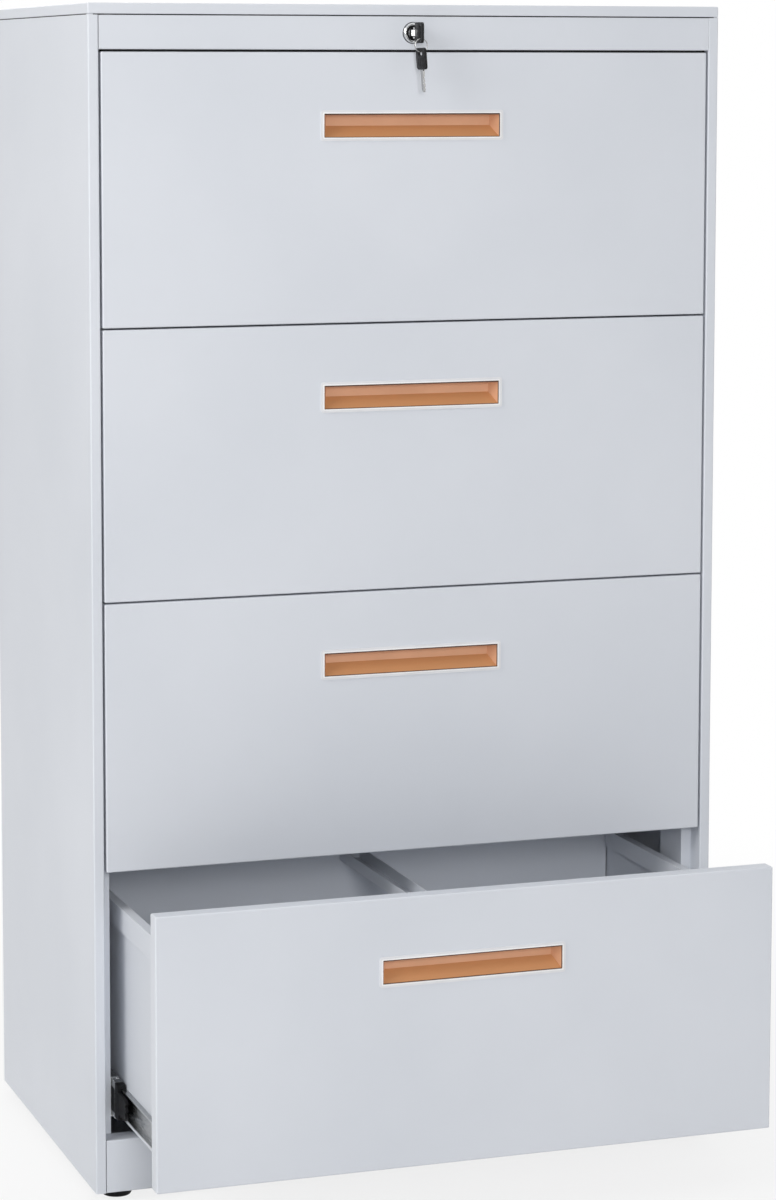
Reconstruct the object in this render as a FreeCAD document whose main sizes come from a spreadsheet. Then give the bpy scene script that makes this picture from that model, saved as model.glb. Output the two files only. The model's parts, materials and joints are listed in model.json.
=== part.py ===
import FreeCAD, Part
import os
import re

import Sketcher

# Driving dimensions in millimetres; a text is a formula of the sizes above it
SIZES = {
    # carcass
    "cabinet_width": 745,
    "cabinet_depth": 457,
    "sheet_thickness": 0.8,
    "bend_radius": 1.6,
    "plinth_height": 60,
    "rail_height": 37.6,
    "top_height": 12.4,
    "top_return": 22,
    "stile_width": 12,
    "stile_return": 26,
    "rear_flange": 15,
    "side_top_flange": 20,
    "rail_end_gap": 0.3,
    "rail_lip": 12,
    "base_flange": 20,
    "back_edge_gap": 0.5,
    "post_inset": 24,
    "post_depth": 60,
    "rear_post_setback": 25,
    "screw_inset": 10,
    "screw_end_distance": 110,
    "screw_radius": 2,
    "screw_head_radius": 4,
    "screw_head_height": 2,
    # levelling feet
    "foot_height": 12,
    "foot_radius": 17,
    "foot_tip_radius": 16,
    "foot_inset": 32,
    "foot_setback": 33,
    "foot_top_gap": 0.6,
    "stud_radius": 4,
    "stud_length": 28,
    "nut_radius": 7.5,
    "nut_height": 7,
    # drawers
    "front_height": 300,
    "front_depth": 18,
    "front_return": 32,
    "drawer_gap": 2,
    "end_gap": 2.5,
    "side_gap": 2.5,
    "open_distance": 200,
    "tray_back_clearance": 39,
    "tray_depth": "=cabinet_depth - front_depth - tray_back_clearance",
    "tray_lift": 14,
    "tray_drop": 43,
    "back_corner_gap": 1.2,
    "back_foot": 15,
    "cap_width": 9,
    "cap_overhang": 2.4,
    "cap_outer_leg": 26,
    "cap_inner_leg": 20,
    "cap_back_gap": 12,
    "centre_rail_width": 26,
    "centre_rail_height": 14,
    # recessed pulls
    "pull_drop": 81,
    "pull_width": 216,
    "pull_height": 34,
    "pull_border": 3.8,
    "pull_wall": 1.2,
    "pull_corner": 3.2,
    "pull_proud": 1.2,
    "cup_depth": 14,
    "cup_back_height": 13,
    "cup_end_slope": 7,
    "cup_top_slope": 0.6,
    # drawer slides
    "slide_height": 45,
    "slide_thickness": 12.7,
    "slide_setback": 28,
    "slide_end_clearance": 29,
    "slide_length": "=cabinet_depth - slide_setback - slide_end_clearance",
    "slide_rise": 39,
    "mid_recess": 86,
    "mid_length": "=slide_length - mid_recess",
    "slide_wall": 1.2,
    "slide_flange": 10,
    "slide_clearance": 0.35,
    "retainer_height": 4.6,
    "retainer_depth": 5,
    "retainer_length": "=mid_length / 2",
    "inner_flange": 6,
    # lock
    "lock_flange_radius": 11.5,
    "lock_flange_height": 2.5,
    "barrel_radius": 9,
    "barrel_length": 20,
    "lock_nut_radius": 13,
    "lock_nut_height": 4,
    "plug_radius": 6.2,
    "plug_proud": 0.8,
    "running_clearance": 0.3,
    "cam_radius": 9,
    "cam_thickness": 2,
    "cam_pin_radius": 2,
    "cam_pin_throw": 5.66,
    "pin_play": 0.4,
    "link_thickness": 1.5,
    "link_height": 14,
    "link_head_width": 32,
    "link_head_rise": 12,
    "link_end_margin": 4,
    "bolt_travel": 8,
    "bar_thickness": 1.5,
    "bar_setback": 34,
    "bar_width": 14,
    "bar_tail": 10,
    "bar_pin_inset": 28,
    "bar_pin_rise": 26,
    "bar_plate_margin": 4,
    "lug_rise": 99,
    "lug_height": 10,
    "lug_margin": 2,
    "lug_reach": 10,
    "tab_height": 8,
    "tab_thickness": 4,
    "tab_reach": 9.7,
    # keys
    "bow_length": 23,
    "bow_width": 21,
    "bow_thickness": 2.6,
    "bow_corner": 4,
    "bow_bar": 2.4,
    "bow_slot_radius": 2.5,
    "blade_length": 25,
    "blade_width": 8,
    "blade_thickness": 2.2,
    "key_slot_play": 0.3,
    "key_standoff": 27,
    "ring_radius": 7.3,
    "ring_wire_radius": 0.7,
    "ring_play": 0.65,
    # one overrun for all cuts
    "cut_overrun": 5,
}
DRAWER_COUNT = 4
OPEN_DRAWER = 4
SPARE_KEY_TURN_DEGREES = 12

doc = FreeCAD.newDocument("FilingCabinet")
sheet = doc.addObject("Spreadsheet::Sheet", "Sizes")
for row, (alias, number) in enumerate(SIZES.items(), 1):
    sheet.set(f"A{row}", alias)
    sheet.set(f"B{row}", str(number))
    sheet.setAlias(f"B{row}", alias)
doc.recompute()

NODES = []


def bound(text):
    """The text as an expression that reads its named sizes from the sheet."""
    def from_sheet(match):
        word = match.group()
        return f"Sizes.{word}" if word in SIZES else word
    return re.sub(r"[a-z_]\w*", from_sheet, str(text))


def value(text):
    """The number that a text of named sizes gives."""
    number = sheet.evalExpression(bound(text))
    return float(getattr(number, "Value", number))


def bind(obj, **properties):
    for name, text in properties.items():
        obj.setExpression(name, bound(text))
    return obj


def place(obj, x="0", y="0", z="0"):
    for axis, text in zip("xyz", (x, y, z)):
        obj.setExpression(f"Placement.Base.{axis}", bound(text))
    return obj


def box(x, y, z, wide, deep, tall):
    block = doc.addObject("Part::Box", "block")
    bind(block, Length=wide, Width=deep, Height=tall)
    return place(block, x, y, z)


def wide_box(y, z, wide, deep, tall):
    """A box centred on the cabinet's middle plane."""
    return box(f"-({wide}) / 2", y, z, wide, deep, tall)


def rod(axis, radius, length, x, y, z):
    """A cylinder from a point along +X, +Y or +Z."""
    cylinder = doc.addObject("Part::Cylinder", "rod")
    turned = FreeCAD.Rotation(FreeCAD.Vector(0, 0, 1), FreeCAD.Vector(*axis))
    cylinder.Placement = FreeCAD.Placement(FreeCAD.Vector(), turned)
    bind(cylinder, Radius=radius, Height=length)
    return place(cylinder, x, y, z)


ALONG_X = (1, 0, 0)
ALONG_Y = (0, 1, 0)
ALONG_Z = (0, 0, 1)


def fuse(*shapes):
    joined = doc.addObject("Part::MultiFuse", "joined")
    joined.Shapes = list(shapes)
    joined.Refine = True
    return joined


def group(*shapes):
    together = doc.addObject("Part::Compound", "group")
    together.Links = list(shapes)
    return together


def cut(base, *tools):
    """The base without the tools, which have to take something away."""
    part = doc.addObject("Part::Cut", "cut")
    part.Base = base
    part.Tool = tools[0] if len(tools) == 1 else group(*tools)
    part.Refine = True
    doc.recompute()
    if part.Shape.Volume >= base.Shape.Volume:
        raise RuntimeError(f"a cut in {base.Name} takes nothing away")
    return part


def mirrored(shape):
    """The shape on the other side of the cabinet's middle plane."""
    twin = doc.addObject("Part::Mirroring", "mirrored")
    twin.Source = shape
    twin.Normal = FreeCAD.Vector(*ALONG_X)
    return twin


def rounded(base, radius, picks):
    """Fillets on the edges of the base that picks chooses."""
    doc.recompute()
    size = value(radius)
    fillet = doc.addObject("Part::Fillet", "rounded")
    fillet.Base = base
    fillet.Edges = [
        (index, size, size)
        for index, edge in enumerate(base.Shape.Edges, 1)
        if picks(edge.BoundBox)
    ]
    return fillet


def at(span_low, span_high, level):
    """Whether an edge lies in the plane at a level."""
    near = value("sheet_thickness") / 10
    return abs(span_low - level) < near and abs(span_high - level) < near


STEPS = {"+u": (1, 0), "-u": (-1, 0), "+v": (0, 1), "-v": (0, -1)}


def folded(start, bends):
    """Outline of a folded sheet: its outer face along the bends, the sheet to the left of it."""
    outer = [start]
    for way, length in bends:
        du, dv = STEPS[way]
        u, v = outer[-1]
        outer.append((f"{u} + {du} * ({length})", f"{v} + {dv} * ({length})"))
    lefts = [(-STEPS[way][1], STEPS[way][0]) for way, _ in bends]
    inner = [shifted(outer[0], lefts[0])]
    for corner, before, after in zip(outer[1:-1], lefts, lefts[1:]):
        inner.append(shifted(corner, (before[0] + after[0], before[1] + after[1])))
    inner.append(shifted(outer[-1], lefts[-1]))
    return outer + inner[::-1]


def shifted(point, normal):
    return tuple(f"{text} + {n} * sheet_thickness" for text, n in zip(point, normal))


def section(plane, outline, length, x="0", y="0", z="0"):
    """A body padded from an outline whose corners are bound to the sheet."""
    body = doc.addObject("PartDesign::Body", "section")
    origin = next(f for f in body.Origin.OriginFeatures if f.Role == plane)
    sketch = body.newObject("Sketcher::SketchObject", "outline")
    sketch.AttachmentSupport = (origin, "")
    sketch.MapMode = "FlatFace"
    corners = [FreeCAD.Vector(value(u), value(v), 0) for u, v in outline]
    count = len(corners)
    lines = [Part.LineSegment(corners[i], corners[(i + 1) % count]) for i in range(count)]
    sketch.addGeometry(lines)
    for i, (u, v) in enumerate(outline):
        sketch.addConstraint(Sketcher.Constraint("Coincident", i, 2, (i + 1) % count, 1))
        for kind, text in (("DistanceX", u), ("DistanceY", v)):
            number = sketch.addConstraint(Sketcher.Constraint(kind, i, 1, value(text)))
            sketch.setExpression(f"Constraints[{number}]", bound(text))
    pad = body.newObject("PartDesign::Pad", "pad")
    pad.Profile = sketch
    bind(pad, Length=length)
    return place(body, x, y, z)


def node(label, shape, x="0", y="0", z="0"):
    """A named sub-part that puts a shape in its place in the part's frame."""
    part = doc.addObject("Part::Compound", label)
    part.Label = label
    part.Links = [shape]
    place(part, x, y, z)
    NODES.append(part)
    return part


# Places that several pieces share, as texts of named sizes.
# Carcass places count from the front plane, the middle plane and the floor.
half_width = "cabinet_width / 2"
front_y = "(open_distance + pull_proud - cabinet_depth) / 2"
plinth_top = "(foot_height + plinth_height)"
pitch = "(front_height + drawer_gap)"
rail_bottom = f"({plinth_top} + 2 * end_gap + {DRAWER_COUNT} * {pitch} - drawer_gap)"
body_top = f"({rail_bottom} + rail_height)"
body_height = f"({body_top} - foot_height)"
back_inner = "(cabinet_depth - sheet_thickness)"
lock_z = f"({rail_bottom} + rail_height / 2)"
front_width = "(cabinet_width - 2 * stile_width - 2 * side_gap)"
tray_width = "(cabinet_width - 2 * post_inset - 2 * slide_thickness)"
tray_top = "(front_height - tray_drop)"
pull_z = "(front_height - pull_drop)"
opening_width = "(pull_width - 2 * pull_border)"
opening_height = "(pull_height - 2 * pull_border)"
rear_post_y = "(cabinet_depth - rear_post_setback - post_depth)"
screw_rows = ["screw_end_distance", "cabinet_depth / 2", "cabinet_depth - screw_end_distance"]


def drawer_bottom(number):
    return f"({plinth_top} + end_gap + {DRAWER_COUNT - number} * {pitch})"


def cabinet_node(label, shape):
    return node(label, shape, y=front_y)


# Side panels: a folded stile at the front, a flange at the back and one along the top
def side_panel():
    outline = folded(
        (f"-{half_width} + rear_flange", back_inner),
        [
            ("-u", "rear_flange"),
            ("-v", back_inner),
            ("+u", "stile_width"),
            ("+v", "stile_return"),
        ],
    )
    wall = section("XY_Plane", outline, body_height, z="foot_height")
    left = -value(half_width)
    stile_edge = left + value("stile_width")
    bends = rounded(
        wall,
        "bend_radius",
        lambda b: b.ZLength > value("plinth_height")
        and (
            at(b.XMin, b.XMax, left) and b.YMax < value("cabinet_depth")
            or at(b.XMin, b.XMax, stile_edge) and at(b.YMin, b.YMax, 0)
        ),
    )
    flange = box(
        f"-{half_width} + sheet_thickness",
        "stile_return",
        f"{body_top} - sheet_thickness",
        "side_top_flange - sheet_thickness",
        f"{back_inner} - sheet_thickness - stile_return",
        "sheet_thickness",
    )
    holes = [
        rod(ALONG_Z, "screw_radius + running_clearance", "2 * cut_overrun",
            f"-{half_width} + screw_inset", y, f"{body_top} - cut_overrun")
        for y in screw_rows
    ]
    return cut(fuse(bends, flange), *holes)


left_side = side_panel()
cabinet_node("left_side_panel", left_side)
cabinet_node("right_side_panel", mirrored(left_side))

# Back panel: a flat sheet over the rear flanges of the sides
back_sheet = wide_box(
    back_inner, "foot_height", "cabinet_width - 2 * back_edge_gap", "sheet_thickness", body_height
)
cabinet_node("back_panel", back_sheet)


# Top panel: a shallow pan with a return all round its lower edge
def top_panel():
    block = wide_box("0", body_top, "cabinet_width", "cabinet_depth", "top_height")
    lid = rounded(block, "bend_radius", lambda b: True)
    hollow = wide_box(
        "sheet_thickness",
        f"{body_top} + sheet_thickness",
        "cabinet_width - 2 * sheet_thickness",
        "cabinet_depth - 2 * sheet_thickness",
        "top_height - 2 * sheet_thickness",
    )
    window = wide_box(
        "top_return",
        f"{body_top} - cut_overrun",
        "cabinet_width - 2 * top_return",
        "cabinet_depth - 2 * top_return",
        "cut_overrun + 2 * sheet_thickness",
    )
    holes = [
        rod(ALONG_Z, "screw_radius + running_clearance", "cut_overrun + 2 * sheet_thickness",
            f"{side} * ({half_width} - screw_inset)", y, f"{body_top} - cut_overrun")
        for side in (-1, 1)
        for y in screw_rows
    ]
    return cut(lid, hollow, window, *holes)


cabinet_node("top_panel", top_panel())


# Bottom panel: a sheet with upturned sides and back, holed for the levelling studs
foot_places = {
    "front_left": (f"-{half_width} + foot_inset", "foot_setback"),
    "front_right": (f"{half_width} - foot_inset", "foot_setback"),
    "rear_left": (f"-{half_width} + foot_inset", "cabinet_depth - foot_setback"),
    "rear_right": (f"{half_width} - foot_inset", "cabinet_depth - foot_setback"),
}


def bottom_panel():
    deep = f"({back_inner} - sheet_thickness - stile_return)"
    block = wide_box(
        "stile_return", "foot_height", "cabinet_width - 2 * sheet_thickness", deep, "base_flange"
    )
    hollow = wide_box(
        "stile_return - cut_overrun",
        "foot_height + sheet_thickness",
        "cabinet_width - 4 * sheet_thickness",
        f"{deep} + cut_overrun - sheet_thickness",
        "base_flange",
    )
    holes = [
        rod(ALONG_Z, "stud_radius + running_clearance", "2 * cut_overrun", x, y, "foot_height - cut_overrun")
        for x, y in foot_places.values()
    ]
    return cut(block, hollow, *holes)


cabinet_node("bottom_panel", bottom_panel())

# Lock rail and plinth: folded rails between the stiles
rail_length = "cabinet_width - 2 * stile_width - 2 * rail_end_gap"


def front_rail(low, high, lip):
    """A rail with top and bottom flanges, and a lip behind the lower one where it has one."""
    bends = [("-u", "stile_return"), ("-v", f"{high} - {low}"), ("+u", "stile_return")]
    if lip:
        bends.append(("+v", lip))
    outline = folded(("stile_return", high), bends)
    rail = section("YZ_Plane", outline, rail_length, x=f"-({rail_length}) / 2")
    return rounded(
        rail,
        "bend_radius",
        lambda b: b.XLength > value("stile_width") and at(b.YMin, b.YMax, 0),
    )


lock_hole = rod(
    ALONG_Y, "barrel_radius + running_clearance", "2 * cut_overrun", "0", "-cut_overrun", lock_z
)
cabinet_node("lock_rail", cut(front_rail(rail_bottom, body_top, "rail_lip"), lock_hole))
cabinet_node("plinth_rail", front_rail("foot_height", plinth_top, ""))


# Slide posts: channels that stand behind the stiles and near the back
def slide_post(y):
    outline = folded(
        (f"-{half_width} + 2 * sheet_thickness", y),
        [
            ("+u", "post_inset - 2 * sheet_thickness"),
            ("+v", "post_depth"),
            ("-u", "post_inset - 2 * sheet_thickness"),
        ],
    )
    bottom = "(foot_height + sheet_thickness)"
    return section("XY_Plane", outline, f"{rail_bottom} - {bottom}", z=bottom)


lug_window_low = "(lug_rise - bolt_travel - running_clearance)"
lug_windows = [
    box(
        f"{half_width} - post_inset - cut_overrun",
        "bar_setback + lug_margin - running_clearance",
        f"{drawer_bottom(number)} + {lug_window_low}",
        "2 * cut_overrun",
        "bar_width - 2 * lug_margin + 2 * running_clearance",
        "lug_height + bolt_travel + 2 * running_clearance",
    )
    for number in range(1, DRAWER_COUNT + 1)
]
front_post = slide_post("stile_return")
rear_post = slide_post(rear_post_y)
cabinet_node("left_slide_posts", group(front_post, rear_post))
cabinet_node(
    "right_slide_posts",
    group(cut(mirrored(front_post), *lug_windows), mirrored(rear_post)),
)

# Drawer slides: each member is a channel, drawn here for the left side of one drawer.
# Heights count from the bottom edge of the drawer front.
slide_x = f"(-{half_width} + post_inset)"
slide_low = "(slide_rise - slide_height / 2)"
member_step = "(slide_wall + slide_clearance)"
inner_height = f"(slide_height - 2 * {member_step} - 2 * (slide_wall + slide_clearance + retainer_height))"


def channel(x, low, tall, reach, way, start="slide_setback", length="slide_length"):
    """A channel with its web at x and its flanges reaching left (-1) or right (+1)."""
    web_x = x if way > 0 else f"{x} - slide_wall"
    flange_x = x if way > 0 else f"{x} - {reach}"
    web = box(web_x, start, low, "slide_wall", length, tall)
    flanges = [
        box(flange_x, start, z, reach, length, "slide_wall")
        for z in (low, f"{low} + {tall} - slide_wall")
    ]
    return fuse(web, *flanges)


def mid_member():
    x = f"{slide_x} + {member_step}"
    low = f"({slide_low} + {member_step})"
    tall = f"(slide_height - 2 * {member_step})"
    start = "(slide_setback + mid_recess)"
    lane_y = f"{start} + (mid_length - retainer_length) / 2"
    retainers = [
        box(f"{x} + slide_wall", lane_y, z, "retainer_depth", "retainer_length", "retainer_height")
        for z in (f"{low} + slide_wall", f"{low} + {tall} - slide_wall - retainer_height")
    ]
    reach = "(slide_flange - slide_wall)"
    return group(channel(x, low, tall, reach, 1, start, "mid_length"), *retainers)


def inner_member():
    x = f"{slide_x} + slide_thickness"
    return channel(x, f"(slide_rise - {inner_height} / 2)", inner_height, "inner_flange", -1)


outer_slide = channel(slide_x, slide_low, "slide_height", "slide_flange", 1)
mid_slide = mid_member()
inner_slide = inner_member()


def raised(shape, number):
    """A copy of a drawer's shape at that drawer's height in the cabinet."""
    return place(group(shape), z=drawer_bottom(number))


drawers = range(1, DRAWER_COUNT + 1)
cabinet_node("left_slide_channels", group(*[raised(outer_slide, n) for n in drawers]))
right_outer_slide = mirrored(outer_slide)
cabinet_node("right_slide_channels", group(*[raised(right_outer_slide, n) for n in drawers]))


# Drawer front: a folded pan with a window for the pull and returns behind
def drawer_front():
    block = wide_box("0", "0", front_width, "front_depth", "front_height")
    pan = rounded(block, "bend_radius", lambda b: b.YMin < value("front_depth") / 2)
    hollow = wide_box(
        "sheet_thickness",
        "sheet_thickness",
        f"{front_width} - 2 * sheet_thickness",
        "front_depth - 2 * sheet_thickness",
        "front_height - 2 * sheet_thickness",
    )
    rear_window = wide_box(
        "front_depth - 2 * sheet_thickness",
        "front_return",
        f"{front_width} - 2 * front_return",
        "cut_overrun",
        "front_height - 2 * front_return",
    )
    neck_width = f"({opening_width} + 2 * pull_wall)"
    neck_height = f"({opening_height} + 2 * pull_wall)"
    pull_window = wide_box(
        "-cut_overrun",
        f"{pull_z} - {neck_height} / 2 - running_clearance",
        f"{neck_width} + 2 * running_clearance",
        "cut_overrun + 2 * sheet_thickness",
        f"{neck_height} + 2 * running_clearance",
    )
    return cut(pan, hollow, rear_window, pull_window)


# Pull frame: a thin rim on the face with a neck through the window
def pull_frame():
    rim = wide_box(
        "-pull_proud", f"{pull_z} - pull_height / 2", "pull_width", "pull_proud", "pull_height"
    )
    soft_rim = rounded(
        rim,
        "pull_corner",
        lambda b: b.YLength > value("pull_proud") / 2,
    )
    neck = wide_box(
        "0",
        f"{pull_z} - {opening_height} / 2 - pull_wall",
        f"{opening_width} + 2 * pull_wall",
        "sheet_thickness",
        f"{opening_height} + 2 * pull_wall",
    )
    mouth = wide_box(
        "-cut_overrun",
        f"{pull_z} - {opening_height} / 2",
        opening_width,
        "2 * cut_overrun",
        opening_height,
    )
    return cut(fuse(soft_rim, neck), mouth)


# Pull cup: a scoop whose floor slopes up to the back wall, with sloping ends
def scoop(wall):
    """The scoop's space, or its outside when a wall is added."""
    wedge = doc.addObject("Part::Wedge", "scoop")
    reach = f"{opening_width} / 2 + {wall}"
    back_reach = f"{reach} - cup_end_slope"
    top = f"{pull_z} + {opening_height} / 2 + {wall}"
    bind(
        wedge,
        Xmin=f"-({reach})",
        Xmax=reach,
        Ymin="sheet_thickness",
        Ymax=f"sheet_thickness + cup_depth + {wall}",
        Zmin=f"{pull_z} - {opening_height} / 2 - {wall}",
        Zmax=top,
        X2min=f"-({back_reach})",
        X2max=back_reach,
        Z2min=f"{top} - cup_top_slope - cup_back_height - 2 * {wall}",
        Z2max=f"{top} - cup_top_slope",
    )
    return wedge


def pull_cup():
    rim = wide_box(
        "sheet_thickness", f"{pull_z} - pull_height / 2", "pull_width", "pull_wall", "pull_height"
    )
    return cut(fuse(rim, scoop("pull_wall")), scoop("0"))


# Tray: bottom, sides and front wall folded from one sheet, with a lock tab welded to its right side
def tray():
    block = wide_box("front_depth", "tray_lift", tray_width, "tray_depth", f"{tray_top} - tray_lift")
    hollow = wide_box(
        "front_depth + sheet_thickness",
        "tray_lift + sheet_thickness",
        f"{tray_width} - 2 * sheet_thickness",
        "tray_depth",
        "front_height",
    )
    tab = box(
        f"{tray_width} / 2",
        "bar_setback + bar_width - lug_margin + pin_play",
        "lug_rise - bolt_travel - running_clearance",
        "tab_reach",
        "tab_thickness",
        "tab_height",
    )
    return group(cut(block, hollow), tab)


# Tray back: a plate with a foot strip welded to it on the tray's bottom
def tray_back():
    plate_y = "(front_depth + tray_depth - sheet_thickness)"
    floor = "(tray_lift + sheet_thickness)"
    wide = f"({tray_width} - 2 * sheet_thickness - 2 * back_corner_gap)"
    plate = wide_box(plate_y, floor, wide, "sheet_thickness", f"{tray_top} - {floor}")
    foot = wide_box(f"{plate_y} - back_foot", floor, wide, "back_foot", "sheet_thickness")
    return group(plate, foot)


# Hanging rails: a cap over each side of the tray and a channel along its middle
def hanging_rails():
    cap_x = f"-{tray_width} / 2 - cap_overhang"
    outline = folded(
        (cap_x, f"{tray_top} - cap_outer_leg"),
        [("+v", "cap_outer_leg"), ("+u", "cap_width"), ("-v", "cap_inner_leg")],
    )
    cap_length = "(tray_depth - cap_back_gap - sheet_thickness)"
    cap = capped(outline, cap_length)
    channel_outline = folded(
        ("-centre_rail_width / 2", tray_top),
        [("-v", "centre_rail_height"), ("+u", "centre_rail_width"), ("+v", "centre_rail_height")],
    )
    rail_span = "(tray_depth - 2 * sheet_thickness)"
    middle = capped(channel_outline, rail_span)
    return group(cap, mirrored(cap), middle)


def capped(outline, length):
    """A rail that starts behind the tray's front wall."""
    return section("XZ_Plane", outline, length, y=f"front_depth + sheet_thickness + {length}")


DRAWER_PIECES = {
    "front": drawer_front(),
    "tray": tray(),
    "tray_back": tray_back(),
    "hanging_rails": hanging_rails(),
    "pull_frame": pull_frame(),
    "pull_cup": pull_cup(),
    "inner_slides": group(inner_slide, mirrored(inner_slide)),
}
mid_slides = group(mid_slide, mirrored(mid_slide))

for number in drawers:
    pulled_out = "open_distance" if number == OPEN_DRAWER else "0"
    for piece, shape in DRAWER_PIECES.items():
        node(f"drawer_{number}_{piece}", shape, y=f"{front_y} - {pulled_out}", z=drawer_bottom(number))
    node(
        f"drawer_{number}_mid_slides",
        mid_slides,
        y=f"{front_y} - {pulled_out} / 2",
        z=drawer_bottom(number),
    )


# Lock: a housing with a flange on the rail, its nut, the turning plug and its cam
def lock_housing():
    flange = rod(ALONG_Y, "lock_flange_radius", "lock_flange_height", "0", "-lock_flange_height", lock_z)
    edge = -value("lock_flange_height")
    soft_flange = rounded(flange, "lock_flange_height / 2", lambda b: at(b.YMin, b.YMax, edge))
    barrel = rod(ALONG_Y, "barrel_radius", "barrel_length", "0", "0", lock_z)
    bore = rod(
        ALONG_Y,
        "plug_radius + running_clearance",
        "barrel_length + 2 * cut_overrun",
        "0",
        "-cut_overrun",
        lock_z,
    )
    return cut(fuse(soft_flange, barrel), bore)


cabinet_node("lock_housing", lock_housing())
nut_disc = rod(ALONG_Y, "lock_nut_radius", "lock_nut_height", "0", "sheet_thickness", lock_z)
nut_bore = rod(
    ALONG_Y, "barrel_radius + running_clearance", "2 * cut_overrun", "0", "-cut_overrun / 2", lock_z
)
cabinet_node("lock_nut", cut(nut_disc, nut_bore))

plug_front = "(-lock_flange_height - plug_proud)"
plug_back = "(barrel_length + running_clearance)"
slot_margin = "(bow_bar + bow_slot_radius)"
slot_reach = f"(bow_width / 2 - {slot_margin})"
key_tip = f"(blade_length + bow_length - {slot_margin} - key_standoff)"
plug_rod = rod(ALONG_Y, "plug_radius", f"{plug_back} - {plug_front}", "0", plug_front, lock_z)
key_way = box(
    "-blade_thickness / 2 - key_slot_play",
    f"{plug_front} - cut_overrun",
    f"{lock_z} - blade_width / 2 - key_slot_play",
    "blade_thickness + 2 * key_slot_play",
    f"cut_overrun - {plug_front} + {key_tip} + key_slot_play",
    "blade_width + 2 * key_slot_play",
)
cabinet_node("lock_plug", cut(plug_rod, key_way))

cam_disc = rod(ALONG_Y, "cam_radius", "cam_thickness", "0", plug_back, lock_z)
pin_offset = "cam_pin_throw * sqrt(0.5)"
link_y = f"({plug_back} + cam_thickness + running_clearance)"
cam_pin = rod(
    ALONG_Y,
    "cam_pin_radius",
    "cam_thickness + running_clearance + link_thickness",
    f"-{pin_offset}",
    plug_back,
    f"{lock_z} + {pin_offset}",
)
cabinet_node("lock_cam", fuse(cam_disc, cam_pin))


# Transfer bar: slides along the lock rail, moved by the cam's pin, with a slanted slot at its end
def transfer_bar():
    low = f"({rail_bottom} + sheet_thickness + running_clearance)"
    pin_x = f"({half_width} - bar_pin_inset)"
    pin_z = f"({rail_bottom} + bar_pin_rise)"
    slot_half = "(cam_pin_radius + pin_play)"
    end_x = f"({pin_x} + {slot_half} + link_end_margin)"
    head_x = f"(-{pin_offset} - link_head_width / 2)"
    head = box(
        head_x, link_y, low, "link_head_width", "link_thickness", f"{lock_z} + link_head_rise - {low}"
    )
    strip = box(head_x, link_y, low, f"{end_x} - {head_x}", "link_thickness", "link_height")
    end_left = f"({pin_x} - bolt_travel - {slot_half} - link_end_margin)"
    end = box(
        end_left,
        link_y,
        low,
        f"{end_x} - {end_left}",
        "link_thickness",
        f"{pin_z} + {slot_half} + link_end_margin - {low}",
    )
    cam_slot = box(
        f"-{pin_offset} - {slot_half}",
        f"{link_y} - cut_overrun",
        f"{lock_z} + {pin_offset} - {slot_half}",
        f"2 * {slot_half}",
        "2 * cut_overrun",
        f"cam_pin_throw - {pin_offset} + 2 * {slot_half}",
    )
    slant = slanted_slot(pin_x, pin_z, slot_half)
    return cut(fuse(head, strip, end), cam_slot, slant)


def slanted_slot(pin_x, pin_z, slot_half):
    """The path of the locking bar's pin, which falls as the transfer bar moves right."""
    side = f"({slot_half} * sqrt(2))"
    outline = [
        (f"{pin_x} + {side}", pin_z),
        (pin_x, f"{pin_z} + {side}"),
        (f"{pin_x} - bolt_travel - {side}", f"{pin_z} - bolt_travel"),
        (f"{pin_x} - bolt_travel", f"{pin_z} - bolt_travel - {side}"),
    ]
    return section("XZ_Plane", outline, "2 * cut_overrun", y=f"{link_y} + cut_overrun")


cabinet_node("transfer_bar", transfer_bar())


# Locking bar: runs down inside the right front post, with welded lugs and a plate with a pin on top
def locking_bar():
    x = f"({half_width} - post_inset + sheet_thickness + running_clearance)"
    low = f"({drawer_bottom(DRAWER_COUNT)} + lug_rise - bar_tail)"
    pin_x = f"({half_width} - bar_pin_inset)"
    pin_z = f"({rail_bottom} + bar_pin_rise)"
    plate_y = "(stile_return + running_clearance)"
    plate_half = "(cam_pin_radius + bar_plate_margin)"
    plate_low = f"({pin_z} - {plate_half})"
    strip = box(x, "bar_setback", low, "bar_thickness", "bar_width", f"{plate_low} - {low}")
    knee = box(
        x,
        plate_y,
        plate_low,
        "bar_thickness",
        f"bar_setback + bar_width - {plate_y}",
        f"2 * {plate_half}",
    )
    plate = box(
        f"{pin_x} - {plate_half}",
        plate_y,
        plate_low,
        f"{x} - {pin_x} + {plate_half}",
        "bar_thickness",
        f"2 * {plate_half}",
    )
    pin = rod(ALONG_Y, "cam_pin_radius", f"{plate_y} - {link_y}", pin_x, link_y, pin_z)
    lugs = [
        box(
            f"{x} - sheet_thickness - running_clearance - lug_reach",
            "bar_setback + lug_margin",
            f"{drawer_bottom(number)} + lug_rise",
            "lug_reach + sheet_thickness + running_clearance",
            "bar_width - 2 * lug_margin",
            "lug_height",
        )
        for number in drawers
    ]
    return group(strip, knee, plate, pin, *lugs)


cabinet_node("locking_bar", locking_bar())


# Keys: drawn with the ring slot of the bow at the origin and the blade along +Y
def key_blade():
    blade = box(
        "-blade_thickness / 2",
        f"bow_length - {slot_margin}",
        "-blade_width / 2",
        "blade_thickness",
        "blade_length",
        "blade_width",
    )
    tip = value(f"bow_length - {slot_margin} + blade_length")
    return rounded(blade, "blade_width / 4", lambda b: at(b.YMin, b.YMax, tip) and b.XLength > 0)


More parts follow.
